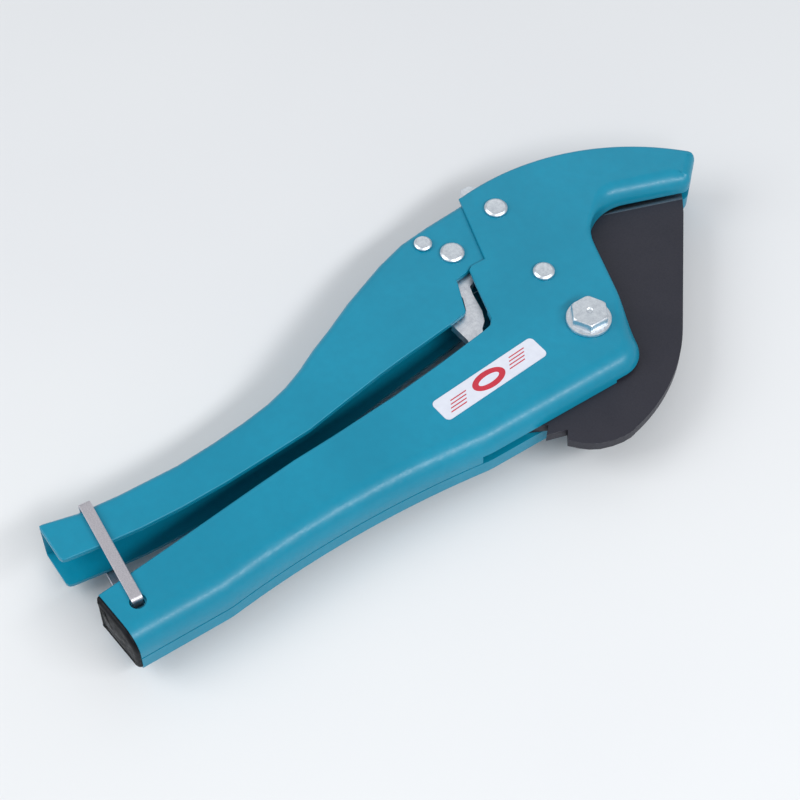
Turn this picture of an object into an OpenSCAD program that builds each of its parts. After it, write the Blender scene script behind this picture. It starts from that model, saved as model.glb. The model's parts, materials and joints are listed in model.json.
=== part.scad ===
// Ratchet cutter for plastic pipe, 42 mm class. All sizes in millimetres.
// Frame: +X runs along the fixed handle towards the hook, +Z is the front face, the tool lies flat
// with its nut on z = 0. Parts are drawn about the middle plane of the blade and then placed.

/* [Body] */
// Thickness of the whole body, front face to rear face
body_t = 15.6; // [14:0.2:18]
// Thickness of the plates over the handle cheeks
lap_t = 1; // [0.8:0.1:1.2]
// Wall thickness of the fixed handle
wall_t = 2.2; // [1.6:0.1:3]
// Radius of the long outer edge of the front shell
edge_r = 6.5; // [3:0.5:7]
// Radius of the long outer edge of the rear shell
rear_edge_r = 1.5; // [1:0.5:4]
// Radius of the lower corner of the nose
nose_r = 9; // [8:0.5:10]
// Radius of the throat where hook and nose meet
throat_r = 15; // [12:0.5:18]

/* [Blade] */
// Thickness of the blade
blade_t = 3; // [2:0.1:4]
// Radius of the tips of the driving teeth, from the blade bolt
tooth_r = 38; // [36:0.5:40]
// Depth of the driving teeth
tooth_d = 3.5; // [2:0.5:4]
// Number of driving teeth
tooth_n = 5; // [4:1:7]
// Radius of the tips of the holding ratchet
ratchet_r = 16; // [14:0.5:17]
// Number of teeth of the holding ratchet
ratchet_n = 24; // [18:1:30]

/* [Moving handle] */
// Sheet thickness of the moving handle
sheet_t = 1.5; // [1:0.1:2]
// Half width of the handle at its free end
grip_half = 7.4; // [6:0.1:7.5]
// Half width of the handle under the body plates
lap_half = 6.7; // [6:0.1:6.7]

/* [Fasteners] */
// Across flats of the bolt head and nut
hex_af = 10; // [8:1:13]
// Radius of the bolt flange
flange_r = 6.65; // [6:0.05:8]
// Radius of the bolt shank
bolt_r = 3; // [2:0.5:4]
// Radial running clearance on every pivot
run_c = 0.06; // [0.02:0.01:0.1]

/* [Latch] */
// Width of the strap
strap_w = 3.4; // [2:0.1:5]
// Thickness of the strap
strap_t = 1; // [0.6:0.1:1.6]

/* [Hidden] */
$fn = 64;
E = 0.01;
C = 0.05;                     // a rounding starts this far outside the face, so it meets it in a clean line
half = body_t / 2;
slot_h = 1.7;                 // half height of the blade slot
B = [60.5, -6.5];             // blade bolt
P = [62.3, 42];               // handle pivot
H = [60, 14.6];               // holding pawl rivet
L = [42.3, 35.8];             // driving pawl rivet
S = [37, 43.3];               // link rivet
K = [-92, -15.3];             // latch pivot
TC = [68.7, -24.6];           // centre of the arched back of the hook
TR = 77.7;                    // radius of the arched back
W = [-28, -343];              // centre of the shallow waist of the fixed handle
WR = 320;                     // radius of the waist
bed = 12.8;                   // middle plane above the lowest point
bail = 38;                    // latch pivot to the outside of the cross strap
teal = [0.02, 0.27, 0.36];
dark = [0.09, 0.09, 0.10];
zinc = [0.72, 0.74, 0.76];

module place() translate([-11.84, -7.74, bed]) children();
function pol(c, r, a) = [c[0] + r * cos(a), c[1] + r * sin(a)];

// Outline shared by both body shells
module body_outline() {
  difference() {
    union() {
      polygon([[-99.6, -7.6], [-97.8, -25.9], [0, -25.9], [0, -25.7], [60.7, -25.7], [69.33, -19.26],
        [79.6, 16.3], [98.8, 25.85], [104, 40], [70, 40], [50, 26], [38.6, 13], [37.6, 9.4], [36, 7.7], [33.6, 7.1],
        [17, 4.7], [0, 2.5], [-22, 0.6], [-35, -0.2], [-48, -1.6], [-72, -4.5]]);
      translate([60.7, -16.7]) circle(r = nose_r, $fn = 120);
      intersection() {
        translate(TC) circle(r = TR, $fn = 240);
        polygon([[30, 0], [38.6, 13], [41, 22.2], [42.6, 27.6], [44, 28.5], [48.7, 28.5], [58, 60.2], [132, 60],
          [132, 33], [126.9, 28.4], [126.5, 26.9], [118.2, 19.2], [98.8, 25.85], [79.6, 16.3], [70, 0]]);
      }
    }
    translate([93.9, 11.7]) circle(r = throat_r, $fn = 120);
    translate(W) circle(r = WR, $fn = 720);
  }
}

// Room for the cheeks of the moving handle, swept as it opens
module lap_room() {
  polygon([[30, 12.5], [46, 12.5], [50, 21], [60, 31], [74, 36], [77, 64], [30, 64]]);
}

// Hollow of the fixed handle, open towards the moving handle; d is the wall on the outer side
module handle_room(d) {
  polygon([[-110, 20], [-110, -25.9 + d], [-72, -25.8 + d], [-61, -24.7 + d], [-50, -23.8 + d], [-42, -23.3 + d], [-28, -23 + d], [-14, -23.3 + d], [-2, -24 + d], [12, -25.4 + d], [22, -18], [32, -9], [41, 2], [41, 13], [30, 20]]);
}

// Straight edge rounding from a to b: everything outside a quarter round of radius r at height h; s is 1 under h, -1 over it
module edge_cut(a, b, r, h, s = 1) {
  l = norm(b - a);
  w = atan2(b[1] - a[1], b[0] - a[0]);
  translate([a[0], a[1], h]) rotate([0, 0, w]) rotate([90, 0, 90])
    linear_extrude(l) difference() {
      translate([-2, s > 0 ? C - r : -2]) square([r - C + 2, r - C + 2]);
      translate([r - C, s * (C - r)]) circle(r = r, $fn = 64);
    }
}

// The same rounding along the waist
module waist_cut(r, h, s = 1) {
  translate([W[0], W[1], h]) rotate([0, 0, 80]) rotate_extrude(angle = 20, $fn = 1440) translate([WR, 0]) difference() {
    translate([-2, s > 0 ? C - r : -2]) square([r - C + 2, r - C + 2]);
    translate([r - C, s * (C - r)]) circle(r = r, $fn = 64);
  }
}

// Rounding of a convex corner, radius q in plan and r in section
module corner_cut(c, q, r, h, a0, a1) {
  translate([c[0], c[1], h - r + C]) rotate([0, 0, a0]) rotate_extrude(angle = a1 - a0, $fn = 64)
    translate([q - r, 0]) difference() {
      square([r + 3, r + 3]);
      translate([C, 0]) circle(r = r, $fn = 64);
    }
}

module body_front_shell() color(teal) place() {
  difference() {
    union() {
      difference() {
        translate([0, 0, -slot_h]) linear_extrude(half + slot_h) body_outline();
        // blade slot, closed only along the back of the hook and the outer side of the handle
        translate([0, 0, -slot_h - E]) linear_extrude(2 * slot_h + E) difference() {
          polygon([[10.8, -40], [140, -40], [140, 64], [30, 64], [30, 0], [10.8, -10]]);
          difference() {
            polygon([[77, 30], [140, 30], [140, 64], [77, 64]]);
            translate(TC) circle(r = TR - 4, $fn = 240);
          }
        }
        // hollow handle in two steps that follow the rounded edge
        translate([0, 0, -slot_h - E]) linear_extrude(slot_h + 2.6) handle_room(2.4);
        translate([0, 0, 2]) linear_extrude(half - wall_t - 2) handle_room(5.2);
        // room for the handle cheeks
        translate([0, 0, -slot_h - E]) linear_extrude(slot_h + half - lap_t + E) lap_room();
        // rounded outer edges
        edge_cut([-112, -25.9], [-50, -25.9], edge_r, half);
        edge_cut([8, -25.7], [60.7, -25.7], edge_r, half);
        waist_cut(edge_r, half);
        corner_cut([60.7, -16.7], nose_r, edge_r, half, -90, -16.2);
        // raised rim at the nose
        translate([0, 0, slot_h - E]) linear_extrude(1) polygon([[55.3, -32], [84, -32], [84, -11], [70, -14], [58, -20]]);
      }
      // latch boss
      translate([K[0], K[1], 4.4]) cylinder(r = 4.4, h = 1.4);
    }
    // bolt and rivet holes
    translate([B[0], B[1], -5]) cylinder(r = bolt_r + 0.04, h = 20);
    translate([P[0], P[1], -5]) cylinder(r = 2.5, h = 20);
    translate([H[0], H[1], -5]) cylinder(r = 2.2, h = 20);
    translate([K[0], K[1], 0]) cylinder(r = 1.7 + run_c, h = 20);
    translate([K[0], K[1], half - 1]) cylinder(r = 2.3, h = 5);
  }
}

module body_rear_shell() color(teal) place() {
  difference() {
    union() {
      difference() {
        translate([0, 0, -half]) linear_extrude(half - slot_h) body_outline();
        translate([0, 0, -half + wall_t]) linear_extrude(half) handle_room(2.4);
        translate([0, 0, -half + lap_t]) linear_extrude(half) lap_room();
        // room for the holding ratchet and its pawl
        translate([B[0], B[1], -4.8]) cylinder(r = ratchet_r + 0.8, h = 6);
        translate([0, 0, -4.8]) linear_extrude(6)
          polygon([[66, 9], [66, 20], [56, 21], [44, 16], [40, 9], [42, 0], [54, 0]]);
        edge_cut([-112, -25.9], [-50, -25.9], rear_edge_r, -half, -1);
        edge_cut([8, -25.7], [60.7, -25.7], rear_edge_r, -half, -1);
        waist_cut(rear_edge_r, -half, -1);
      }
      translate([K[0], K[1], -5.8]) cylinder(r = 4.4, h = 1.4);
    }
    translate([B[0], B[1], -15]) cylinder(r = bolt_r + 0.04, h = 20);
    translate([P[0], P[1], -15]) cylinder(r = 2.5, h = 20);
    translate([H[0], H[1], -15]) cylinder(r = 2.2, h = 20);
    translate([K[0], K[1], -15]) cylinder(r = 1.7 + run_c, h = 20);
    translate([K[0], K[1], -half - 4]) cylinder(r = 2.3, h = 5);
  }
}

// Moulded plug that closes the end of the fixed handle
module handle_end_plug() color(dark) place() {
  // domed cap over the end of the shells
  intersection() {
    translate([0, 0, -half]) linear_extrude(body_t)
      polygon([[-99.62, -7.6], [-100.9, -8.4], [-101.7, -12], [-101.2, -18], [-99.8, -23.4], [-97.82, -25.9]]);
    rotate([0, -90, 0]) translate([0, 0, 90]) linear_extrude(20)
      polygon([[7.4, 0], [7.4, -17], [6.4, -21], [4.6, -23.6], [2.4, -25], [0, -25.6], [-5.4, -25.6], [-7.4, -23.6], [-7.4, 0]]);
  }
  // tongue that fills the hollow between the shells
  difference() {
    union() {
      translate([0, 0, -half + wall_t + 0.03]) linear_extrude(half - wall_t + 1.9)
        polygon([[-99.7, -7.7], [-97.9, -23.4], [-93.8, -23.3], [-93.8, -7.2]]);
      translate([0, 0, 1.8]) linear_extrude(half - wall_t - 1.83)
        polygon([[-99.7, -7.7], [-98.2, -20.6], [-93.8, -20.5], [-93.8, -7.2]]);
    }
    translate([K[0], K[1], -20]) cylinder(r = 4.5, h = 40);
  }
}

// Printed strip, rounded corners, plain ring and stripes
module label_plate() color([0.85, 0.86, 0.88]) place() {
  translate([25, -7.9, half]) rotate([0, 0, 5.2]) linear_extrude(0.25) difference() {
    square([36.8, 7.7], center = true);
    for (i = [-1, 1], j = [-1, 1]) translate([i * 18.4, j * 3.85]) difference() {
      square([3, 3], center = true);
      translate([-i * 1.5, -j * 1.5]) circle(r = 1.5);
    }
  }
}

// Blade with ground edge, hub and toothed tail, shown closed
module blade() color([0.055, 0.055, 0.07]) place() {
  step = 46.5 / tooth_n;
  difference() {
    union() {
      translate([0, 0, -blade_t / 2]) linear_extrude(blade_t) difference() {
        union() {
          translate(B) circle(r = 16, $fn = 120);
          // toothed tail
          polygon(concat([B], [for (i = [0:tooth_n - 1]) for (k = [0, 1])
              k == 0 ? pol(B, i == 0 ? 30 : tooth_r - tooth_d, 178.5 + i * step - 0.6)
                     : pol(B, tooth_r, 178.5 + i * step + 0.4)],
            [pol(B, tooth_r - tooth_d, 224.4), pol(B, tooth_r, 225.4),
             [36.2, -36.2], [38.1, -37.9], [40.8, -39.5], [44.2, -40.6], [47.4, -41.15], [50.3, -41.15], [52, -40.78], [54.5, -39]]));
          // body of the blade, its curved back towards the user
          intersection() {
            translate([40.5, 14.3]) circle(r = 56.2, $fn = 240);
            polygon([B, [47.6, -50], [96, -50], [96, -6.8], [112, 13.8], [117, 20.9], [95.5, 28.3], [80, 31], [74, 22], [68, 9]]);
          }
          polygon([[70, 0], [84.4, -20.8], [112, 13.8], [117, 20.9], [95.5, 28.3], [80, 31], [74, 22], [66, 9]]);
        }
        translate(B) circle(r = 4.5 + run_c, $fn = 96);
      }
    }
    // ground edge on both sides
    for (s = [-1, 1]) scale([1, 1, 1]) translate([117, 20.9, 0]) rotate([0, 0, 161]) rotate([90, 0, 90])
      translate([0, 0, -4]) linear_extrude(42)
        polygon([[-0.4, 0.1 * s], [-0.4, 3 * s], [4, 3 * s], [4, 1.5 * s], [3.4, 1.5 * s]]);
  }
}

// Toothed ring for the holding pawl, fixed on the rear of the blade
module blade_ratchet_ring() color(zinc) place() {
  translate([0, 0, -4.5]) linear_extrude(4.5 - blade_t / 2) difference() {
    polygon([for (i = [0:ratchet_n - 1]) for (k = [0, 1])
      pol(B, k == 0 ? ratchet_r - 2 : ratchet_r, 2 + i * 360 / ratchet_n + k)]);
    translate(B) circle(r = 4.5 + run_c, $fn = 96);
  }
}

module blade_bush() color(zinc) place() difference() {
  translate([B[0], B[1], -4.78]) cylinder(r = 4.5, h = 4.78 + slot_h - E, $fn = 96);
  translate([B[0], B[1], -9]) cylinder(r = bolt_r, h = 18);
}

module blade_bolt() color(zinc) place() translate([B[0], B[1], 0]) {
  translate([0, 0, -bed + 0.2]) cylinder(r = bolt_r, h = bed + half);
  translate([0, 0, half]) cylinder(r = flange_r, h = 1.2);
  difference() {
    intersection() {
      translate([0, 0, half + 1]) cylinder(r = hex_af / sqrt(3), h = 3.2, $fn = 6);
      translate([0, 0, half + 1]) cylinder(r1 = 9.4, r2 = 5.2, h = 3.4);
    }
    translate([0, 0, half + 3.7]) cylinder(r = 1, h = 2);
  }
}

module blade_nut() color(zinc) place() translate([B[0], B[1], -bed]) difference() {
  cylinder(r = hex_af / sqrt(3), h = 4.2, $fn = 6);
  translate([0, 0, -1]) cylinder(r = bolt_r, h = 8);
}

module blade_washer() color(zinc) place() translate([B[0], B[1], -bed + 4.2]) difference() {
  cylinder(r = 6.3, h = 0.8);
  translate([0, 0, -1]) cylinder(r = bolt_r + 0.1, h = 8);
}

// Spring-loaded pawl that stops the blade from swinging back
module hold_pawl() color(zinc) place() translate([0, 0, -4.5]) linear_extrude(2.7) difference() {
  union() {
    translate(H) circle(r = 4.1);
    polygon([[60, 18.7], [52, 16.5], [46, 9.5], [47.9, 6.3], [50, 7.8], [53.4, 10.6], [57, 11.9]]);
    translate([49.2, 6.9]) circle(r = 1.2);
  }
  translate(H) circle(r = 2.2 + run_c);
}

module coil(c, r, w, z0, n) {
  for (i = [0:n - 1]) translate([c[0], c[1], z0 + i * w * 1.7]) rotate_extrude($fn = 48) translate([r, 0]) circle(r = w, $fn = 20);
}

module hold_pawl_spring() color(zinc) place() coil(H, 3.05, 0.6, -1.0, 3);

// Rivet with a flat chamfered head on each face
module rivet(c, r, head, h, z = half) {
  translate([c[0], c[1], -z]) cylinder(r = r, h = 2 * z);
  for (s = [0, 1]) mirror([0, 0, s]) translate([c[0], c[1], z]) {
    cylinder(r = head, h = h * 0.6);
    translate([0, 0, h * 0.6]) cylinder(r1 = head, r2 = head - h * 0.5, h = h * 0.4);
  }
}

module hold_pawl_rivet() color(zinc) place() rivet(H, 2.2, 3.2, 1.3);
module handle_pivot_rivet() color(zinc) place() rivet(P, 2.5, 3.5, 1.3);

// Plan of one cheek of the moving handle
module cheek_outline()
  polygon(concat([[-102.9, 18.8], [-102.6, 19.8], [-101.6, 20.1], [-92, 18.4], [-80, 17.4], [-62, 16.9], [-50, 17.8], [-40, 19], [-31, 20.6], [-24, 22.7],
    [-18, 25.3], [-10, 29.7], [-3, 33], [7, 38.2], [22, 44.7], [32, 48], [42, 49.4], [53.6, 50.4]],
    [for (a = [100:-12:-80]) pol(P, 8.5, a)],
    [[55, 31.5], [48.7, 28.5], [44, 28.5], [42.8, 27.9], [37.8, 27.1], [37.6, 26], [35.2, 20.1],
    [33.7, 16.3], [32.7, 15.7], [27.4, 14.7], [17.4, 13.2], [8.3, 12], [0.1, 10.7], [-17, 7.5], [-26, 5.8], [-39, 4.8],
    [-54, 3.8], [-68, 3.5], [-80, 3.9], [-90, 4.9], [-101.4, 6.4], [-102.4, 6.8], [-102.9, 7.8]]));

// Inside of the channel: a sheet thickness in from the spine, open below and at the end
module channel_outline() {
  polygon([[-110, 20], [-101.5, 18.5], [-92, 16.9], [-80, 15.9], [-62, 15.4], [-50, 16.3], [-40, 17.5], [-31.2, 19.1], [-24.5, 21.2],
    [-18.6, 23.8], [-10.8, 28.1], [-3.6, 31.6], [6.5, 36.8], [21.5, 43.2], [32, 46.4], [42, 47.8], [53.5, 48.8],
    [53.5, 60], [90, 60], [90, -10], [-110, -10]]);
}

module side_profile(t) rotate([90, 0, 0]) translate([0, 0, -80]) linear_extrude(120)
  polygon([[-120, -grip_half + t], [-12, -grip_half + t], [34, -lap_half + t], [90, -lap_half + t],
    [90, lap_half - t], [34, lap_half - t], [-12, grip_half - t], [-120, grip_half - t]]);

module moving_handle() color(teal) place() difference() {
  intersection() {
    translate([0, 0, -10]) linear_extrude(20) cheek_outline();
    side_profile(0);
  }
  intersection() {
    translate([0, 0, -10]) linear_extrude(20) channel_outline();
    side_profile(sheet_t);
  }
  translate([P[0], P[1], -10]) cylinder(r = 2.5 + run_c, h = 20);
  translate([L[0], L[1], -10]) cylinder(r = 2.5, h = 20);
  translate([S[0], S[1], -10]) cylinder(r = 1.8, h = 20);
}

// Bright plate between the cheeks; its corner stands out of the back of the body
module link_plate() color(zinc) place() translate([0, 0, slot_h]) linear_extrude(2.8) difference() {
  union() {
    translate(S) circle(r = 3.1);
    translate(P) circle(r = 7.6);
    polygon([[36.8, 46.3], [37, 40.7], [46, 41], [56, 38], [66, 41], [64.2, 54.6], [62.4, 56.2], [59.4, 56.4], [57, 52.4], [53, 47.9], [44, 46.8]]);
  }
  translate(S) circle(r = 1.8);
  translate(P) circle(r = 2.5 + run_c);
}

module handle_pivot_sleeve() color(zinc) place() difference() {
  translate([P[0], P[1], -5.15]) cylinder(r = 4, h = 5.15 + slot_h - 0.02);
  translate([P[0], P[1], -9]) cylinder(r = 2.5 + run_c, h = 18);
}

module handle_spring() color(zinc) place() {
  coil(P, 4.85, 0.7, -3.6, 4);
  translate([57.45, 41, -3.6]) rotate([0, 0, 8]) rotate([-90, 0, 0]) cylinder(r = 0.7, h = 5.6, $fn = 20);
}

// Driving pawl: hangs from its rivet, pushes the toothed tail down
module drive_pawl() color(zinc) place() {
  difference() {
    union() {
      translate([0, 0, slot_h]) linear_extrude(2.8) {
        translate(L) circle(r = 4.6);
        polygon([[38, 33.6], [36.4, 21.6], [34.7, 17.6], [28.3, 15.7], [29, 8.4], [27.4, 4.4], [18.4, 1.3], [15.4, 0],
          [16, -3], [19, -2.8], [31, 1.6], [34.9, 9.7], [37, 11.6], [38.5, 14.9], [39.7, 21.2], [40.7, 24.3], [43.1, 25.2],
          [44.4, 29], [46.6, 34]]);
        translate([17.4, -1.1]) circle(r = 2.2);
      }
      translate([L[0], L[1], -1.5]) cylinder(r = 4.6, h = 4);
      translate([17.4, -1.1, -1.5]) cylinder(r = 2.2, h = 4);
    }
    translate([L[0], L[1], -9]) cylinder(r = 2.5 + run_c, h = 18);
  }
}

module drive_pawl_rivet() color(zinc) place() rivet(L, 2.5, 3.65, 1.3, lap_half);
module link_rivet() color(zinc) place() rivet(S, 1.8, 2.7, 1.1, lap_half + 0.2);

module drive_pawl_spacer() color(zinc) place() difference() {
  translate([L[0], L[1], -5.2]) cylinder(r = 4, h = 3.6);
  translate([L[0], L[1], -9]) cylinder(r = 2.5, h = 18);
}

module link_rivet_spacer() color(zinc) place() difference() {
  translate([S[0], S[1], -5.2]) cylinder(r = 2.15, h = 5.2 + slot_h - 0.02);
  translate([S[0], S[1], -9]) cylinder(r = 1.8, h = 18);
}

module drive_pawl_spring() color(zinc) place() {
  coil(S, 2.62, 0.42, -2.4, 5);
  translate([34.4, 43.3, 0.4]) rotate([0, 0, 10]) rotate([90, 0, 0]) cylinder(r = 0.42, h = 8.5, $fn = 20);
}

// Spring-steel bail: two legs over the faces, cross strap behind the moving handle, round ends in the shells
module latch_bail() color(zinc) place() {
  lean = -4.4;
  z0 = half + 0.12;
  translate([K[0], K[1], 0]) rotate([0, 0, lean]) {
    difference() {
      translate([-strap_w / 2, -0.8, -z0 - strap_t]) cube([strap_w, bail + 0.8, 2 * z0 + 2 * strap_t]);
      translate([-5, -5, -z0]) cube([10, bail + 5 - strap_t, 2 * z0]);
    }
    for (s = [-1, 1]) translate([0, 0, s > 0 ? 4.5 : -z0 - strap_t / 2]) cylinder(r = strap_w / 2, h = z0 + strap_t / 2 - 4.5);
  }
}

body_front_shell();
body_rear_shell();
handle_end_plug();
label_plate();
blade();
blade_ratchet_ring();
blade_bush();
blade_bolt();
blade_nut();
blade_washer();
hold_pawl();
hold_pawl_spring();
hold_pawl_rivet();
moving_handle();
link_plate();
handle_pivot_rivet();
handle_pivot_sleeve();
handle_spring();
drive_pawl();
drive_pawl_rivet();
drive_pawl_spacer();
drive_pawl_spring();
link_rivet();
link_rivet_spacer();
latch_bail();
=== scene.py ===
import json
import math

import bmesh
import bpy
import numpy as np
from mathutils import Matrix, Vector


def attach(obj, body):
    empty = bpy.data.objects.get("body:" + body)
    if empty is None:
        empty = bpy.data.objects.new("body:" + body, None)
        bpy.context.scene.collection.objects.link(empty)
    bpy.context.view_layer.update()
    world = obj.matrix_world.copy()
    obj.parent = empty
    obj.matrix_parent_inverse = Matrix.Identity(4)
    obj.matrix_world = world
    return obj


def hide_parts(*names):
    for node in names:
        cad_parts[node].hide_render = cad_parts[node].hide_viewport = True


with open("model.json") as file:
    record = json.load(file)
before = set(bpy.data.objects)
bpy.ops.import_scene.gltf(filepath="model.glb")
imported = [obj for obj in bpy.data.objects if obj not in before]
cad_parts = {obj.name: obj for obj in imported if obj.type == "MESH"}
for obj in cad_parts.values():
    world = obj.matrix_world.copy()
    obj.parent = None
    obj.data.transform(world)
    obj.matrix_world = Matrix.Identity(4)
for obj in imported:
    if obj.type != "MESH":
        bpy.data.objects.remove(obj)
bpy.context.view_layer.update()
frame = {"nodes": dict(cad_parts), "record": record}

# Drawing frame of the part in millimetres: blade mid-plane at z = 0. OFF moves it to the row frame.
OFF = np.array([-11.84, -7.74, 12.8])
HALF = 7.8
B = np.array([60.5, -6.5])
P = np.array([62.3, 42.0])
H = np.array([60.0, 14.6])
L = np.array([42.3, 35.8])
S = np.array([37.0, 43.3])
K = np.array([-92.0, -15.3])
NODES = frame["nodes"]


# ------------------------------------------------------------------ materials
def srgb(r, g, b):
    def f(c):
        c /= 255.0
        return c / 12.92 if c <= 0.04045 else ((c + 0.055) / 1.055) ** 2.4
    return (f(r), f(g), f(b), 1.0)


class Mat:
    """A node material in object space, with lengths in millimetres."""

    def __init__(self, name, **base):
        self.m = bpy.data.materials.new(name)
        self.m.use_nodes = True
        self.t = self.m.node_tree
        self.bsdf = self.t.nodes["Principled BSDF"]
        for k, v in base.items():
            self.bsdf.inputs[k.replace("_", " ")].default_value = v
        co = self.t.nodes.new("ShaderNodeTexCoord")
        mp = self.t.nodes.new("ShaderNodeMapping")
        mp.inputs["Scale"].default_value = (1000, 1000, 1000)
        self.t.links.new(co.outputs["Object"], mp.inputs["Vector"])
        self.co = mp.outputs["Vector"]

    def link(self, a, b):
        self.t.links.new(a, b)

    def stretched(self, scale, rot=0.0):
        mp = self.t.nodes.new("ShaderNodeMapping")
        mp.inputs["Scale"].default_value = scale
        mp.inputs["Rotation"].default_value = (0, 0, rot)
        self.link(self.co, mp.inputs["Vector"])
        return mp.outputs["Vector"]

    def noise(self, scale, detail=3.0, rough=0.55, co=None, seed=0.0):
        n = self.t.nodes.new("ShaderNodeTexNoise")
        n.noise_dimensions = "4D"
        n.inputs["W"].default_value = seed
        n.inputs["Scale"].default_value = scale
        n.inputs["Detail"].default_value = detail
        n.inputs["Roughness"].default_value = rough
        self.link(co or self.co, n.inputs["Vector"])
        return n.outputs["Fac"]

    def voronoi(self, scale, co=None):
        n = self.t.nodes.new("ShaderNodeTexVoronoi")
        n.inputs["Scale"].default_value = scale
        self.link(co or self.co, n.inputs["Vector"])
        return n.outputs["Distance"]

    def ramp(self, fac, stops):
        r = self.t.nodes.new("ShaderNodeValToRGB")
        e = r.color_ramp.elements
        while len(e) < len(stops):
            e.new(0.5)
        for i, (p, c) in enumerate(stops):
            e[i].position = p
            e[i].color = c if len(c) == 4 else (*c, 1.0)
        self.link(fac, r.inputs["Fac"])
        return r.outputs["Color"]

    def remap(self, fac, lo, hi, a=0.35, b=0.65):
        r = self.t.nodes.new("ShaderNodeMapRange")
        r.inputs["From Min"].default_value = a
        r.inputs["From Max"].default_value = b
        r.inputs["To Min"].default_value = lo
        r.inputs["To Max"].default_value = hi
        self.link(fac, r.inputs["Value"])
        return r.outputs["Result"]

    def mix(self, fac, a, b):
        x = self.t.nodes.new("ShaderNodeMix")
        x.data_type = "RGBA"
        if isinstance(fac, float):
            x.inputs["Factor"].default_value = fac
        else:
            self.link(fac, x.inputs["Factor"])
        for s, v in ((6, a), (7, b)):
            if isinstance(v, tuple):
                x.inputs[s].default_value = v
            else:
                self.link(v, x.inputs[s])
        return x.outputs[2]

    def times(self, a, b):
        x = self.t.nodes.new("ShaderNodeMath")
        x.operation = "MULTIPLY"
        self.link(a, x.inputs[0])
        if isinstance(b, float):
            x.inputs[1].default_value = b
        else:
            self.link(b, x.inputs[1])
        return x.outputs[0]

    def add(self, a, b):
        x = self.t.nodes.new("ShaderNodeMath")
        x.operation = "ADD"
        self.link(a, x.inputs[0])
        self.link(b, x.inputs[1])
        return x.outputs[0]

    def colour(self, v):
        self.link(v, self.bsdf.inputs["Base Color"])

    def rough(self, v):
        self.link(v, self.bsdf.inputs["Roughness"])

    def bump(self, v, dist_mm, strength=1.0):
        b = self.t.nodes.new("ShaderNodeBump")
        b.inputs["Distance"].default_value = dist_mm / 1000.0
        b.inputs["Strength"].default_value = strength
        self.link(v, b.inputs["Height"])
        if getattr(self, "_b", None) is not None:
            self.link(self._b.outputs["Normal"], b.inputs["Normal"])
        self.link(b.outputs["Normal"], self.bsdf.inputs["Normal"])
        self._b = b


def teal_paint():
    m = Mat("teal_paint", Roughness=0.34, Specular_IOR_Level=0.4, Coat_Weight=0.08, Coat_Roughness=0.2)
    big = m.noise(0.035, 2.0)
    mid = m.noise(0.35, 4.0, seed=3.0)
    c = m.mix(m.remap(big, 0.0, 1.0), srgb(2, 130, 160), srgb(5, 137, 168))
    c = m.mix(m.remap(mid, 0.0, 0.22), c, srgb(2, 118, 147))
    speck = m.ramp(m.noise(5.5, 2.0, seed=7.0), [(0.0, (0, 0, 0)), (0.71, (0, 0, 0)), (0.76, (1, 1, 1))])
    c = m.mix(m.times(speck, 0.22), c, srgb(70, 165, 188))
    m.colour(c)
    m.rough(m.remap(m.noise(0.9, 4.0, seed=2.0), 0.3, 0.42))
    m.bump(m.noise(0.8, 2.0, 0.4), 0.03, 0.55)
    m.bump(m.noise(4.5, 3.0, 0.6, seed=5.0), 0.008, 0.5)
    return m.m


def zinc(name="zinc_plate", tint=(240, 246, 252), dark=(186, 195, 205), r0=0.3, r1=0.46, speckle=0.5):
    m = Mat(name, Metallic=1.0, Roughness=0.38)
    a = m.noise(0.9, 5.0, 0.65)
    c = m.mix(m.remap(a, 0.0, 1.0), srgb(*tint), srgb(*[int(0.5 * (x + y)) for x, y in zip(tint, dark)]))
    s = m.ramp(m.noise(3.2, 3.0, 0.7, seed=4.0), [(0.0, (0, 0, 0)), (0.56, (0, 0, 0)), (0.68, (1, 1, 1))])
    c = m.mix(m.times(s, speckle), c, srgb(*dark))
    m.colour(c)
    m.rough(m.remap(m.noise(2.4, 4.0, seed=9.0), r0, r1))
    m.bump(m.noise(1.7, 4.0, 0.65, seed=2.0), 0.02, 0.6)
    m.bump(m.noise(7.0, 2.0, 0.6, seed=6.0), 0.006, 0.5)
    return m.m


def strap_steel():
    m = Mat("strap_steel", Metallic=1.0, Roughness=0.42)
    a = m.noise(2.6, 4.0, 0.7)
    c = m.mix(m.remap(a, 0.0, 1.0), srgb(226, 222, 228), srgb(200, 197, 204))
    fine = m.ramp(m.noise(6.0, 2.0, 0.7, seed=3.0), [(0.0, (0, 0, 0)), (0.5, (0, 0, 0)), (0.66, (1, 1, 1))])
    c = m.mix(m.times(fine, 0.35), c, srgb(168, 164, 172))
    m.colour(c)
    m.rough(m.remap(m.noise(3.0, 3.0, seed=1.0), 0.34, 0.5))
    m.bump(m.noise(5.0, 3.0, 0.7), 0.01, 0.6)
    return m.m


def black_coat():
    m = Mat("black_coat", Metallic=0.0, Roughness=0.5, Specular_IOR_Level=0.42)
    a = m.noise(0.05, 3.0)
    c = m.mix(m.remap(a, 0.0, 1.0), srgb(36, 37, 48), srgb(43, 43, 53))
    s = m.noise(3.4, 3.0, 0.7, seed=3.0)
    c = m.mix(m.remap(s, 0.0, 0.5), c, srgb(28, 28, 37))
    m.colour(c)
    m.rough(m.remap(m.noise(1.6, 4.0, seed=8.0), 0.42, 0.58))
    m.bump(m.noise(3.8, 3.0, 0.65), 0.012, 0.5)
    return m.m


def ground_edge():
    m = Mat("ground_edge", Metallic=1.0, Roughness=0.36)
    g = m.noise(1.6, 3.0, 0.6, co=m.stretched((1.0, 6.0, 6.0), math.radians(19)))
    m.colour(m.mix(m.remap(g, 0.0, 1.0), srgb(122, 122, 128), srgb(158, 158, 164)))
    m.rough(m.remap(g, 0.3, 0.48))
    m.bump(g, 0.01, 0.6)
    return m.m


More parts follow.
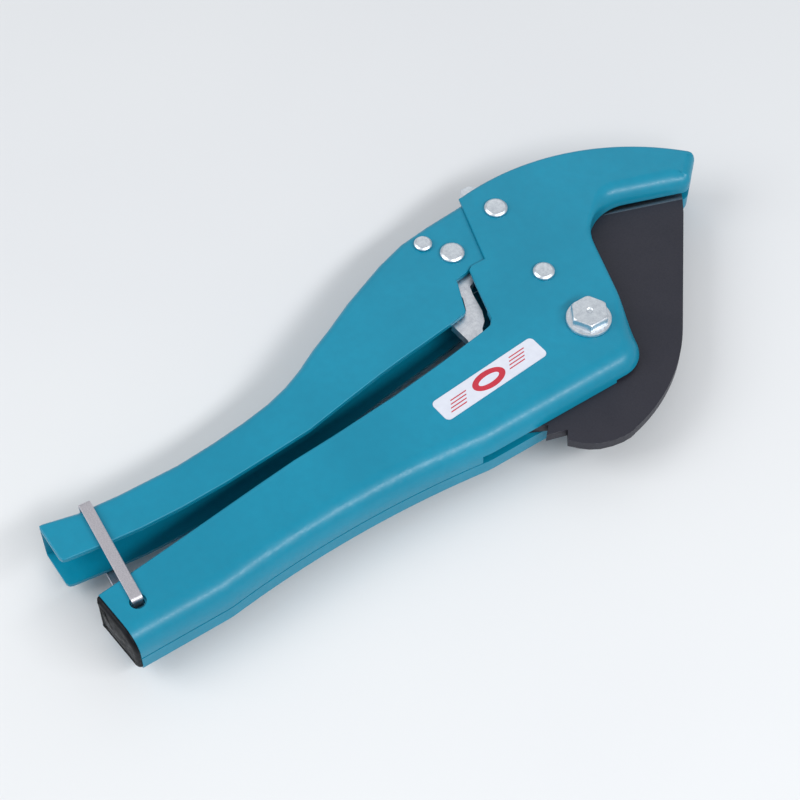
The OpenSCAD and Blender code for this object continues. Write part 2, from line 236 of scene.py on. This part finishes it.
def dark_plug():
    m = Mat("dark_plug", Roughness=0.42, Specular_IOR_Level=0.14)
    a = m.noise(0.35, 4.0)
    c = m.mix(m.remap(a, 0.0, 1.0), srgb(10, 12, 16), srgb(22, 25, 30))
    m.colour(c)
    m.rough(m.remap(m.noise(0.8, 4.0, seed=4.0), 0.32, 0.56))
    m.bump(m.noise(0.5, 3.0, seed=2.0), 0.15, 0.5)
    m.bump(m.noise(4.0, 3.0, 0.6, seed=6.0), 0.015, 0.5)
    return m.m


def printed(name, col, dirt):
    m = Mat(name, Roughness=0.34, Coat_Weight=0.3, Coat_Roughness=0.2)
    a = m.noise(0.5, 4.0)
    m.colour(m.mix(m.remap(a, 0.0, 0.35), srgb(*col), srgb(*dirt)))
    m.rough(m.remap(m.noise(1.4, 3.0, seed=4.0), 0.28, 0.42))
    m.bump(m.noise(3.0, 3.0, 0.6), 0.006, 0.5)
    return m.m


TEAL = teal_paint()
ZINC = zinc()
ZINC_D = zinc("zinc_pawl", (244, 247, 252), (196, 200, 208), 0.34, 0.52, 0.6)
SPRING = zinc("spring_wire", (170, 172, 176), (110, 112, 118), 0.25, 0.38, 0.3)
STRAP = strap_steel()
BLACK = black_coat()
EDGE = ground_edge()
PLUG = dark_plug()
LABEL = printed("label_white", (218, 222, 234), (202, 205, 218))
RED = printed("label_red", (196, 40, 60), (170, 30, 50))


# ------------------------------------------------------------------ mesh helpers
def mesh_obj(name, verts, faces):
    me = bpy.data.meshes.new(name)
    me.from_pydata([tuple(map(float, v)) for v in verts], [], [tuple(int(i) for i in f) for f in faces])
    me.validate()
    o = bpy.data.objects.new(name, me)
    bpy.context.scene.collection.objects.link(o)
    return o


def cad_copy(node, name=None):
    """Welded copy of a CAD node in millimetres, drawing frame."""
    src = NODES[node].data
    co = np.zeros(len(src.vertices) * 3)
    src.vertices.foreach_get("co", co)
    co = co.reshape(-1, 3) * 1000.0 - OFF
    faces = [tuple(p.vertices) for p in src.polygons]
    o = mesh_obj(name or node + "_m", co, faces)
    bm = bmesh.new()
    bm.from_mesh(o.data)
    bmesh.ops.remove_doubles(bm, verts=bm.verts, dist=2e-4)
    bm.to_mesh(o.data)
    bm.free()
    return o


def baked(o):
    dg = bpy.context.evaluated_depsgraph_get()
    me = bpy.data.meshes.new_from_object(o.evaluated_get(dg))
    o.modifiers.clear()
    old = o.data
    o.data = me
    bpy.data.meshes.remove(old)
    return o


def combine(a, b, op, solver="MANIFOLD"):
    """Boolean of two closed meshes; b is used up."""
    n0 = len(a.data.polygons)
    m = a.modifiers.new("b", "BOOLEAN")
    m.operation = op
    m.solver = solver
    m.object = b
    bpy.context.view_layer.update()
    baked(a)
    if solver == "MANIFOLD" and len(a.data.polygons) == 0:
        raise RuntimeError("boolean failed on " + a.name)
    bpy.data.objects.remove(b)
    return a


def tidy(o, weld=1e-3, flat=0.3):
    bm = bmesh.new()
    bm.from_mesh(o.data)
    bmesh.ops.remove_doubles(bm, verts=bm.verts, dist=weld)
    bmesh.ops.dissolve_limit(bm, angle_limit=math.radians(flat), verts=bm.verts, edges=bm.edges)
    bmesh.ops.recalc_face_normals(bm, faces=bm.faces)
    bm.to_mesh(o.data)
    bm.free()
    return o


def place(o, mat, body, nodes=(), smooth=32.0, bevel=0.0, weighted=True, segs=2, lim=32.0):
    """Moves a millimetre mesh to the row frame, gives it its finish and lets it ride on its body."""
    me = o.data
    co = np.zeros(len(me.vertices) * 3)
    me.vertices.foreach_get("co", co)
    co = ((co.reshape(-1, 3) + OFF) / 1000.0).ravel()
    me.vertices.foreach_set("co", co)
    me.update()
    mats = mat if isinstance(mat, (list, tuple)) else [mat]
    marks = [p.material_index for p in me.polygons]
    me.materials.clear()
    for x in mats:
        me.materials.append(x)
    if len(mats) > 1:
        me.polygons.foreach_set("material_index", marks)
    for p in me.polygons:
        p.use_smooth = True
    me.set_sharp_from_angle(angle=math.radians(smooth))
    if bevel:
        b = o.modifiers.new("edge", "BEVEL")
        b.width = bevel / 1000.0
        b.segments = segs
        b.limit_method = "ANGLE"
        b.angle_limit = math.radians(lim)
        b.harden_normals = False
        b.use_clamp_overlap = True
    if weighted:
        w = o.modifiers.new("wn", "WEIGHTED_NORMAL")
        w.keep_sharp = True
        w.weight = 60
    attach(o, body)
    if nodes:
        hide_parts(*nodes)
    return o


def arc(c, r, a0, a1, n):
    return [(c[0] + r * math.cos(math.radians(a0 + (a1 - a0) * i / n)), c[1] + r * math.sin(math.radians(a0 + (a1 - a0) * i / n))) for i in range(n + 1)]


def densify(pts, step):
    """Adds points along long sides of a closed outline. A point is (x, y, fillet)."""
    out = []
    n = len(pts)
    for i in range(n):
        a, b = np.array(pts[i]), np.array(pts[(i + 1) % n])
        k = max(1, int(math.ceil(np.linalg.norm(b[:2] - a[:2]) / step)))
        for j in range(k):
            out.append(a + (b - a) * j / k)
    return np.array(out)


def round_corner(p, a, b, r, n=6):
    """Plan rounding of corner p between neighbours a and b."""
    p, a, b = map(np.array, (p, a, b))
    u = (a - p) / np.linalg.norm(a - p)
    v = (b - p) / np.linalg.norm(b - p)
    half = math.acos(max(-1, min(1, float(u @ v)))) / 2
    d = r / math.tan(half)
    c = p + (u + v) / np.linalg.norm(u + v) * (r / math.sin(half))
    s, e = p + u * d, p + v * d
    a0 = math.atan2(*(s - c)[::-1])
    a1 = math.atan2(*(e - c)[::-1])
    while a1 - a0 > math.pi:
        a1 -= 2 * math.pi
    while a1 - a0 < -math.pi:
        a1 += 2 * math.pi
    return [(c[0] + r * math.cos(a0 + (a1 - a0) * i / n), c[1] + r * math.sin(a0 + (a1 - a0) * i / n)) for i in range(n + 1)]


def inward(pts):
    """Mitred inward normals of a counter-clockwise outline."""
    nxt = np.roll(pts, -1, 0) - pts
    nxt /= np.linalg.norm(nxt, axis=1)[:, None]
    prv = np.roll(nxt, 1, 0)
    n1 = np.stack([-prv[:, 1], prv[:, 0]], 1)
    n2 = np.stack([-nxt[:, 1], nxt[:, 0]], 1)
    m = n1 + n2
    d = 1 + (n1 * n2).sum(1)
    m /= np.maximum(d, 0.35)[:, None]
    return m


def pillow(name, outline, z_top, z_bot, inset=0.05, rings=9, both=False, lip=()):
    """Closed solid over an outline whose points carry their own edge rounding; rounded on top, or on both faces."""
    pts, rad = outline[:, :2], outline[:, 2]
    n = inward(pts)
    up = 1.0 if z_top > z_bot else -1.0
    layers = []

    def ring(t, z0, sgn):
        d = inset + rad * (1 - math.cos(t))
        xy = pts + n * d[:, None]
        z = z0 - sgn * rad * (1 - math.sin(t))
        return np.column_stack([xy, z])

    ts = [math.pi / 2 * k / rings for k in range(rings + 1)]
    if both:
        for t in reversed(ts):
            layers.append(ring(t, z_bot, -up))
    else:
        for d, z in (((lip[0][0] if lip else inset), z_bot),) + tuple(lip):
            layers.append(np.column_stack([pts + n * d, np.full(len(pts), z)]))
    for t in ts:
        layers.append(ring(t, z_top, up))
    v = np.concatenate(layers)
    N = len(pts)
    faces = []
    for k in range(len(layers) - 1):
        for i in range(N):
            j = (i + 1) % N
            q = (k * N + i, k * N + j, (k + 1) * N + j, (k + 1) * N + i)
            faces.append(q if up > 0 else q[::-1])
    cap = tuple(range((len(layers) - 1) * N, len(layers) * N))
    bot = tuple(reversed(range(N)))
    faces += [cap if up > 0 else cap[::-1], bot if up > 0 else bot[::-1]]
    return mesh_obj(name, v, faces)


# ------------------------------------------------------------------ body shells
TC, TR = np.array([68.7, -24.6]), 77.7
W, WR = np.array([-28, -343]), 320.0


def body_outline(r_out, r_nose, r_side, r_hook, r_tip, r_top, r_cut, r_in):
    o = []

    def put(pts, r0, r1=None):
        pts = list(pts)
        r1 = r0 if r1 is None else r1
        s = [0.0]
        for a, b in zip(pts, pts[1:]):
            s.append(s[-1] + math.hypot(b[0] - a[0], b[1] - a[1]))
        for p, q in zip(pts, s):
            f = q / s[-1] if s[-1] else 0
            f = f * f * (3 - 2 * f)
            o.append((p[0], p[1], r0 + (r1 - r0) * f))

    # the outline runs on past the end of the shells, which the CAD shape then cuts off square
    put([(-112, -25.82)], r_out)
    put([(-71.5, -25.82)], r_out)
    put([(x, W[1] + math.sqrt((WR + 0.02) ** 2 - (x - W[0]) ** 2)) for x in np.linspace(-70.0, 12.5, 60)], r_out)
    put([(14.5, -25.68)], r_out)
    nose = round_corner((67.45, -25.68), (40, -25.68), (79.55, 16.3), 9.8, 20)
    put(nose, r_out, r_nose)
    a, b = np.array(nose[-1]), np.array([79.42, 15.85])
    k = [tuple(a + (b - a) * i / 24) for i in range(1, 24)]
    put(k[:12], r_nose, r_side)
    put(k[12:], r_side)
    thr = arc((93.9, 11.7), 15.02, 163.5, 71.0, 34)
    put(thr[:14], r_side)
    put(thr[14:30], r_side, r_hook)
    put(thr[30:], r_hook)
    tip = round_corner((118.15, 19.25), (98.8, 25.9), (126.5, 26.95), 3.4, 8)
    h0, h1 = np.array([98.8, 25.9]), np.array([118.15, 19.25])
    put([tuple(h0 + (h1 - h0) * i / 12) for i in range(1, 10)], r_hook)
    put(tip, r_hook * 0.85, r_tip)
    t2 = round_corner((126.5, 27.05), (118.15, 19.25), (123.6, 30.3), 1.8, 6)
    put(t2, r_tip, r_top)
    put(arc(TC, TR, 43.6, 99.9, 60), r_top)
    put([(55.43, 51.45)], r_cut)
    put([(48.7, 28.5), (44.0, 28.5), (42.6, 27.6), (41.0, 22.2), (38.6, 13.0), (37.6, 9.4), (36.0, 7.7), (33.6, 7.1)], r_cut)
    put([(17, 4.7), (0, 2.5), (-22, 0.6), (-35, -0.2), (-48, -1.6), (-72, -4.5)], r_in)
    put([(-112, -9.0)], r_in)
    return densify(o, 1.6)


SEAM = -1.7
front_env = pillow("front_env", body_outline(6.9, 6.4, 1.5, 5.6, 3.0, 1.5, 0.45, 0.9), HALF - 0.05, -3.0, lip=((0.45, SEAM - 0.02), (0.42, SEAM + 0.08), (0.12, SEAM + 0.32), (0.05, SEAM + 0.55)))
front = combine(cad_copy("body_front_shell"), front_env, "INTERSECT")
front.name = "front_shell"
place(tidy(front), TEAL, "body", ["body_front_shell"])

rear_env = pillow("rear_env", body_outline(1.8, 1.8, 1.2, 1.8, 1.6, 1.2, 0.45, 0.9), -HALF + 0.05, 0.0, lip=((0.1, SEAM + 0.02), (0.05, SEAM - 0.06)))
rear = combine(cad_copy("body_rear_shell"), rear_env, "INTERSECT")
rear.name = "rear_shell"
place(tidy(rear), TEAL, "body", ["body_rear_shell"])

# ------------------------------------------------------------------ moving handle
spine_r, cut_r = 2.6, 0.45
hp = [(-102.9, 18.8, 0.5), (-102.6, 19.8, 0.8), (-101.6, 20.1, 1.3), (-92, 18.4, spine_r), (-80, 17.4, spine_r), (-62, 16.9, spine_r), (-50, 17.8, spine_r),
      (-40, 19, spine_r), (-31, 20.6, spine_r), (-24, 22.7, spine_r), (-18, 25.3, spine_r), (-10, 29.7, spine_r), (-3, 33, spine_r), (7, 38.2, spine_r), (22, 44.7, spine_r),
      (32, 48, spine_r), (42, 49.4, spine_r), (53.6, 50.4, spine_r)]
hp += [(P[0] + 8.5 * math.cos(math.radians(a)), P[1] + 8.5 * math.sin(math.radians(a)), cut_r) for a in range(100, -81, -12)]
hp += [(x, y, cut_r) for x, y in [(55, 31.5), (48.7, 28.5), (44, 28.5), (42.8, 27.9), (37.8, 27.1), (37.6, 26), (35.2, 20.1), (33.7, 16.3), (32.7, 15.7), (27.4, 14.7),
       (17.4, 13.2), (8.3, 12), (0.1, 10.7), (-17, 7.5), (-26, 5.8), (-39, 4.8), (-54, 3.8), (-68, 3.5), (-80, 3.9), (-90, 4.9), (-101.4, 6.4), (-102.4, 6.8), (-102.9, 7.8)]]
hp = densify(hp[::-1], 2.0)
grip, lap = 7.4, 6.7
handle_env = pillow("handle_env", hp, grip - 0.05, -grip + 0.05, inset=0.05, rings=8, both=True)
bm = bmesh.new()
bm.from_mesh(handle_env.data)
for x in (-12.0, 34.0):
    bmesh.ops.bisect_plane(bm, geom=bm.verts[:] + bm.edges[:] + bm.faces[:], plane_co=(x, 0, 0), plane_no=(1, 0, 0), dist=1e-5)
for v in bm.verts:
    f = min(1.0, max(0.0, (v.co.x + 12.0) / 46.0))
    v.co.z *= (grip - (grip - lap) * f) / grip
bm.to_mesh(handle_env.data)
bm.free()
handle = combine(cad_copy("moving_handle"), handle_env, "INTERSECT")
handle.name = "handle_channel"
place(tidy(handle), TEAL, "handle", ["moving_handle"])


# ------------------------------------------------------------------ lathe pieces
def lathe(name, c, profile, n=72):
    """Solid of revolution about a vertical axis at c; profile is (radius, z) from bottom to top, radius 0 closes it."""
    v, f = [], []
    rows = []
    for r, z in profile:
        if r <= 1e-6:
            rows.append([len(v)])
            v.append((c[0], c[1], z))
        else:
            rows.append(list(range(len(v), len(v) + n)))
            v += [(c[0] + r * math.cos(2 * math.pi * i / n), c[1] + r * math.sin(2 * math.pi * i / n), z) for i in range(n)]
    for a, b in zip(rows, rows[1:]):
        for i in range(n):
            j = (i + 1) % n
            if len(a) == 1 and len(b) == 1:
                continue
            if len(a) == 1:
                f.append((a[0], b[j], b[i]))
            elif len(b) == 1:
                f.append((a[i], a[j], b[0]))
            else:
                f.append((a[i], a[j], b[j], b[i]))
    return mesh_obj(name, v, f)


def head_profile(z, head, h):
    """Flat rivet head with a bright chamfer all round, from its under side up."""
    return [(head - 0.1, z), (head, z + 0.1), (head, z + 0.56 * h), (head - 0.05, z + 0.62 * h), (head - 0.48 * h, z + 0.95 * h),
            (head - 0.56 * h, z + 0.99 * h), (head - 0.75 * h, z + h), (head * 0.3, z + h), (0, z + h)]


def rivet(name, node, c, r, head, h, z, body):
    top = head_profile(z + 0.01, head - 0.02, h - 0.06)
    bot = [(a, -b) for a, b in top][::-1]
    o = lathe(name, c, bot + [(r - 0.05, -z + 0.02), (r - 0.05, z - 0.02)] + top)
    return place(o, ZINC, body, [node], smooth=50, weighted=False)


rivet("rivet_hold", "hold_pawl_rivet", H, 2.2, 3.2, 1.3, HALF, "body")
rivet("rivet_pivot", "handle_pivot_rivet", P, 2.5, 3.5, 1.3, HALF, "body")
rivet("rivet_drive", "drive_pawl_rivet", L, 2.5, 3.65, 1.3, 6.7, "handle")
rivet("rivet_link", "link_rivet", S, 1.8, 2.7, 1.1, 6.9, "handle")


# ------------------------------------------------------------------ bolt
def hex_head(name, c, af, z0, z1, r_top, flange, dimple=1.0, rot=0.0):
    """Flanged hexagon head: a flange ring with a soft rim, hexagon sides and a top face chamfered to a circle."""
    n = 96
    v, f = [], []
    rows = []

    def row(rad, z):
        rows.append(list(range(len(v), len(v) + n)))
        for i in range(n):
            a = 2 * math.pi * i / n
            r = rad(a) if callable(rad) else rad
            zz = z(a) if callable(z) else z
            v.append((c[0] + r * math.cos(a), c[1] + r * math.sin(a), zz))

    def hx(s):
        def g(a):
            a = (a - rot) % (math.pi / 3) - math.pi / 6
            return s * (af / 2) / math.cos(a)
        return g

    fr, ft = flange
    row(2.95, -12.5)
    row(2.95, HALF - 0.02)
    row(fr - 0.25, HALF + 0.01)
    row(fr, HALF + 0.2)
    row(fr, HALF + ft - 0.35)
    row(fr - 0.12, HALF + ft - 0.1)
    row(fr - 0.4, HALF + ft)
    row(lambda a: hx(1.0)(a) + 0.25, HALF + ft + 0.06)
    row(hx(1.0), HALF + ft + 0.3)
    # sides end where the chamfer cone starts: higher on the flats than on the corners
    def zc(a):
        return min(z1 - 0.28, z1 - 0.28 - (hx(0.985)(a) - r_top) * 0.62)
    row(hx(0.998), zc)
    row(lambda a: min(hx(0.982)(a), r_top + 0.1), z1 - 0.13)
    row(lambda a: min(hx(0.955)(a), r_top - 0.12), z1 - 0.01)
    row(lambda a: min(hx(0.8)(a), r_top - 0.6), z1)
    row(dimple + 0.12, z1)
    row(dimple * 0.8, z1 - 0.22)
    row(dimple * 0.3, z1 - 0.34)
    for a, b in zip(rows, rows[1:]):
        for i in range(n):
            j = (i + 1) % n
            f.append((a[i], a[j], b[j], b[i]))
    f.append(tuple(rows[-1]))
    f.append(tuple(reversed(rows[0])))
    return mesh_obj(name, v, f)


bolt = hex_head("bolt_flanged", B, 9.9, HALF + 1.0, 11.97, 5.25, (6.6, 1.1), 0.9, rot=0.0)
place(bolt, ZINC, "body", ["blade_bolt"], smooth=30, weighted=False)

# ------------------------------------------------------------------ end plug
pl = []
for y, z in [(-8.0, 7.3), (-18.6, 7.3)]:
    pl.append((y, z))
pl += [(-18.9 - 6.6 * math.sin(a), 0.7 + 6.6 * math.cos(a)) for a in np.linspace(0.1, math.pi / 2, 14)]
pl += [(-25.5, -5.6)]
pl += [(-23.9 - 1.6 * math.cos(a), -5.7 - 1.6 * math.sin(a)) for a in np.linspace(0.1, math.pi / 2, 8)]
pl += [(-8.0, -7.3)]
pl = densify([(a, b, 0) for a, b in pl], 0.9)[:, :2]
cen = np.array([-16.4, 0.2])
area = sum(pl[i][0] * pl[(i + 1) % len(pl)][1] - pl[(i + 1) % len(pl)][0] * pl[i][1] for i in range(len(pl)))
if area > 0:
    pl = pl[::-1]
nn = inward(pl[::-1])[::-1]
v, f = [], []
N = len(pl)
layers = []
for d, h in [(0.05, -5.0), (0.05, 0.0), (0.06, 0.35), (0.25, 0.75), (0.6, 1.05), (1.1, 1.25), (1.5, 1.3), (1.62, 1.12), (1.8, 1.02), (2.1, 1.04)]:
    layers.append((pl + nn * d, h))
for s in (0.8, 0.6, 0.4, 0.2):
    layers.append((cen + (layers[9][0] - cen) * (s / 1.0), 1.04 + 0.6 * (1 - s * s)))
for q, h in layers:
    for y, z in q:
        x = -99.6 + (-7.6 - y) * 1.8 / 18.3 - h
        v.append((x, y, z))
for k in range(len(layers) - 1):
    for i in range(N):
        j = (i + 1) % N
        f.append((k * N + i, k * N + j, (k + 1) * N + j, (k + 1) * N + i))
f.append(tuple(range((len(layers) - 1) * N, len(layers) * N)))
f.append(tuple(reversed(range(N))))
plug = mesh_obj("end_plug", v, f)
bm = bmesh.new()
bm.from_mesh(plug.data)
bmesh.ops.recalc_face_normals(bm, faces=bm.faces)
bm.to_mesh(plug.data)
bm.free()
place(plug, PLUG, "body", ["handle_end_plug"], smooth=60, weighted=False)

# ------------------------------------------------------------------ label
def label():
    c, w, h, r, rot = np.array([25, -7.9]), 36.8, 7.7, 1.5, math.radians(5.2)
    R = np.array([[math.cos(rot), -math.sin(rot)], [math.sin(rot), math.cos(rot)]])
    v, f, mi = [], [], []

    def prism(pts, z0, z1, m, bevel=0.0):
        b = len(v)
        n = len(pts)
        q = np.array(pts)
        lay = [(q, z0), (q, z1 - bevel)]
        if bevel:
            g = inward(q)
            lay.append((q + g * bevel, z1))
        for p, z in lay:
            for x in p:
                y = R @ x + c
                v.append((y[0], y[1], z))
        for k in range(len(lay) - 1):
            for i in range(n):
                j = (i + 1) % n
                f.append((b + k * n + i, b + k * n + j, b + (k + 1) * n + j, b + (k + 1) * n + i))
                mi.append(m)
        f.append(tuple(range(b + (len(lay) - 1) * n, b + len(lay) * n)))
        mi.append(m)
        f.append(tuple(reversed(range(b, b + n))))
        mi.append(m)

    plate = []
    for cx, cy, a in ((w / 2 - r, -h / 2 + r, -90), (w / 2 - r, h / 2 - r, 0), (-w / 2 + r, h / 2 - r, 90), (-w / 2 + r, -h / 2 + r, 180)):
        plate += arc((cx, cy), r, a, a + 90, 8)
    prism(plate, HALF - 0.04, HALF + 0.2, 0, 0.06)
    z0, z1 = HALF + 0.19, HALF + 0.225
    # plain oval band with a pale middle, and a stepped block of slanted rules each side of it
    oval = [(-0.4 + 5.6 * math.cos(t), 2.9 * math.sin(t)) for t in np.linspace(0, 2 * math.pi, 48, endpoint=False)]
    prism(oval, z0, z1, 1)
    inner = [(-0.4 + 3.6 * math.cos(t), 1.25 * math.sin(t)) for t in np.linspace(0, 2 * math.pi, 40, endpoint=False)]
    prism(inner, z0, z1 + 0.012, 0)
    for x0, ys in ((7.4, (2.1, 1.05, 0.0, -1.05)), (-14.8, (1.05, 0.0, -1.05, -2.1))):
        for i, y in enumerate(ys):
            s = x0 - 0.75 * i + 1.2
            prism([(s, y - 0.17), (s + 5.6, y - 0.17), (s + 5.8, y + 0.17), (s + 0.2, y + 0.17)], z0, z1, 1)
    o = mesh_obj("label_strip", v, f)
    o.data.polygons.foreach_set("material_index", mi)
    return o


lab = label()
place(lab, [LABEL, RED], "body", ["label_plate"], smooth=30, weighted=False)


# ------------------------------------------------------------------ latch strap
def strap():
    lean = math.radians(-4.4)
    u = np.array([-math.sin(lean), math.cos(lean)])
    side = np.array([math.cos(lean), math.sin(lean)])
    t, w = 0.8, 3.3
    zt = HALF + 0.12 + t / 2
    top = 33.75 + t / 2
    path = []

    def bend(c0, c1, r, a0, a1, n=8):
        for i in range(n + 1):
            a = math.radians(a0 + (a1 - a0) * i / n)
            path.append((c0 + r * math.cos(a), c1 + r * math.sin(a)))

    b = 1.0
    path.append((0.35, 4.6))
    path.append((0.35, 6.2))
    bend(0.35 + b, zt - b, b, 180, 90)
    for s in np.linspace(2.6, top - 2.2, 12):
        path.append((s, zt))
    bend(top - 1.1, zt - 1.1, 1.1, 90, 0)
    for z in np.linspace(zt - 2.2, 0, 6):
        path.append((top, z))
    full = path + [(a, -z) for a, z in path[::-1][1:]]
    q = np.array(full)
    d = np.gradient(q, axis=0)
    d /= np.linalg.norm(d, axis=1)[:, None]
    nrm = np.stack([-d[:, 1], d[:, 0]], 1)
    e = 0.16
    sec = [(-t / 2, -w / 2 + e), (-t / 2 + e, -w / 2), (t / 2 - e, -w / 2), (t / 2, -w / 2 + e), (t / 2, w / 2 - e), (t / 2 - e, w / 2), (-t / 2 + e, w / 2), (-t / 2, w / 2 - e)]
    v, f = [], []
    m = len(sec)
    for k in range(len(q)):
        # the tabs in the holes are a little narrower
        zz = abs(q[k][1])
        nar = 1.0 if zz > 7.4 or q[k][0] > 3 else 0.88
        for a, wd in sec:
            p2 = q[k] + nrm[k] * a
            xy = K + u * p2[0] + side * wd * nar
            v.append((xy[0], xy[1], p2[1]))
    for k in range(len(q) - 1):
        for i in range(m):
            j = (i + 1) % m
            f.append((k * m + i, k * m + j, (k + 1) * m + j, (k + 1) * m + i))
    f.append(tuple(range((len(q) - 1) * m, len(q) * m)))
    f.append(tuple(reversed(range(m))))
    o = mesh_obj("latch_strap", v, f)
    bm = bmesh.new()
    bm.from_mesh(o.data)
    bmesh.ops.recalc_face_normals(bm, faces=bm.faces)
    bm.to_mesh(o.data)
    bm.free()
    return o


place(strap(), STRAP, "latch", ["latch_bail"], smooth=40)


# ------------------------------------------------------------------ blade
blade = tidy(cad_copy("blade", "blade_coated"), weld=2e-4, flat=0.4)
place(blade, [BLACK, EDGE], "blade", ["blade"], bevel=0.22, segs=2, lim=40)
blade.modifiers["edge"].material = 1
for p in blade.data.polygons:
    n = p.normal
    if 0.12 < abs(n.z) < 0.99 and n.y > 0.0 and p.center.y > 0.006:
        p.material_index = 1


# ------------------------------------------------------------------ carried parts with broken edges
def carry(node, mat, body, width, name, lim=30):
    o = tidy(cad_copy(node, name), weld=2e-4, flat=0.4)
    return place(o, mat, body, [node], bevel=width, lim=lim)


carry("drive_pawl", ZINC_D, "drive_pawl", 0.22, "pawl_drive", 35)
carry("hold_pawl", ZINC, "hold_pawl", 0.2, "pawl_hold", 35)
carry("blade_ratchet_ring", ZINC, "blade", 0.12, "ratchet_ring", 35)
carry("link_plate", ZINC, "handle", 0.2, "plate_link", 35)
carry("blade_nut", ZINC, "body", 0.3, "nut_hex", 35)
carry("blade_washer", ZINC, "body", 0.15, "washer_flat", 35)
for nd, bd, nm in (("blade_bush", "body", "bush"), ("handle_pivot_sleeve", "handle", "sleeve_pivot"), ("drive_pawl_spacer", "handle", "spacer_drive"), ("link_rivet_spacer", "handle", "spacer_link")):
    carry(nd, ZINC, [b for b, ns in frame["record"]["behaviour"]["bodies"].items() if nd in ns][0], 0.1, nm, 35)


# ------------------------------------------------------------------ springs
def coil(name, node, c, r, w, z0, turns, tail):
    n = 24 * turns
    pts = [(c[0] + r * math.cos(2 * math.pi * i / 24), c[1] + r * math.sin(2 * math.pi * i / 24), z0 + w * 1.7 * i / 24 * 0.9) for i in range(n + 1)]
    if tail is not None:
        pts += tail
    q = np.array(pts)
    d = np.gradient(q, axis=0)
    d /= np.linalg.norm(d, axis=1)[:, None]
    v, f, m = [], [], 10
    for k in range(len(q)):
        zax = np.array([0, 0, 1.0])
        a = np.cross(d[k], zax)
        if np.linalg.norm(a) < 0.1:
            a = np.cross(d[k], np.array([1.0, 0, 0]))
        a /= np.linalg.norm(a)
        b = np.cross(d[k], a)
        for i in range(m):
            t = 2 * math.pi * i / m
            v.append(tuple(q[k] + (a * math.cos(t) + b * math.sin(t)) * w * 0.95))
    for k in range(len(q) - 1):
        for i in range(m):
            j = (i + 1) % m
            f.append((k * m + i, k * m + j, (k + 1) * m + j, (k + 1) * m + i))
    f.append(tuple(range((len(q) - 1) * m, len(q) * m)))
    f.append(tuple(reversed(range(m))))
    o = mesh_obj(name, v, f)
    bm = bmesh.new()
    bm.from_mesh(o.data)
    bmesh.ops.recalc_face_normals(bm, faces=bm.faces)
    bm.to_mesh(o.data)
    bm.free()
    body = [b_ for b_, ns in frame["record"]["behaviour"]["bodies"].items() if node in ns][0]
    return place(o, SPRING, body, [node], smooth=60, weighted=False)


coil("spring_hold", "hold_pawl_spring", H, 3.05, 0.6, -1.0, 2, None)
coil("spring_handle", "handle_spring", P, 4.85, 0.7, -3.6, 3, None)
coil("spring_drive", "drive_pawl_spring", S, 2.62, 0.42, -2.4, 4, None)

# ------------------------------------------------------------------ anything left keeps its shape and gets a finish
for n, o in NODES.items():
    if not o.hide_render:
        for s in o.material_slots:
            s.link = "OBJECT"
            s.material = ZINC

# ------------------------------------------------------------------ stage
me = bpy.data.meshes.new("floor")
me.from_pydata([(-6, -6, 0), (6, -6, 0), (6, 6, 0), (-6, 6, 0)], [], [(0, 1, 2, 3)])
floor = bpy.data.objects.new("floor", me)
bpy.context.scene.collection.objects.link(floor)
fm = Mat("floor_paper", Roughness=0.6)
fm.colour(fm.mix(fm.remap(fm.noise(0.004, 2.0), 0.0, 1.0), srgb(226, 228, 230), srgb(222, 224, 227)))
fm.rough(fm.remap(fm.noise(0.02, 2.0), 0.55, 0.65))
me.materials.append(fm.m)


def area(name, loc, target, size, size_y, power, colour=(1, 1, 1)):
    d = bpy.data.lights.new(name, "AREA")
    d.shape = "RECTANGLE"
    d.size, d.size_y, d.energy, d.color = size, size_y, power, colour
    o = bpy.data.objects.new(name, d)
    o.location = loc
    o.rotation_mode = "QUATERNION"
    o.rotation_quaternion = (Vector(target) - Vector(loc)).to_track_quat("-Z", "Y")
    bpy.context.scene.collection.objects.link(o)
    return o


area("key", (-0.75, 0.35, 0.75), (0, 0, 0), 0.7, 0.7, 5.0)
area("front_strip", (0.12, -0.62, 0.66), (0, 0, 0.01), 1.0, 0.13, 5.2)

area("back_right", (0.55, 0.7, 0.8), (0, 0, 0), 0.6, 0.5, 0.4)

world = bpy.data.worlds.new("studio")
bpy.context.scene.world = world
world.use_nodes = True
world.node_tree.nodes["Background"].inputs["Color"].default_value = (0.86, 0.88, 0.9, 1)
world.node_tree.nodes["Background"].inputs["Strength"].default_value = 0.58

# ------------------------------------------------------------------ camera
cam = bpy.data.cameras.new("camera")
cam.lens, cam.sensor_width = 90.0, 36.0
cam.clip_start, cam.clip_end = 0.01, 50
co = bpy.data.objects.new("camera", cam)
co.location = (-0.18874, -0.27309, 0.4760)
co.rotation_mode = "QUATERNION"
co.rotation_quaternion = (Vector((-0.01184, -0.00774, 0.0206)) - co.location).to_track_quat("-Z", "Y")
bpy.context.scene.collection.objects.link(co)
bpy.context.scene.camera = co
bpy.context.scene.view_settings.view_transform = "Standard"
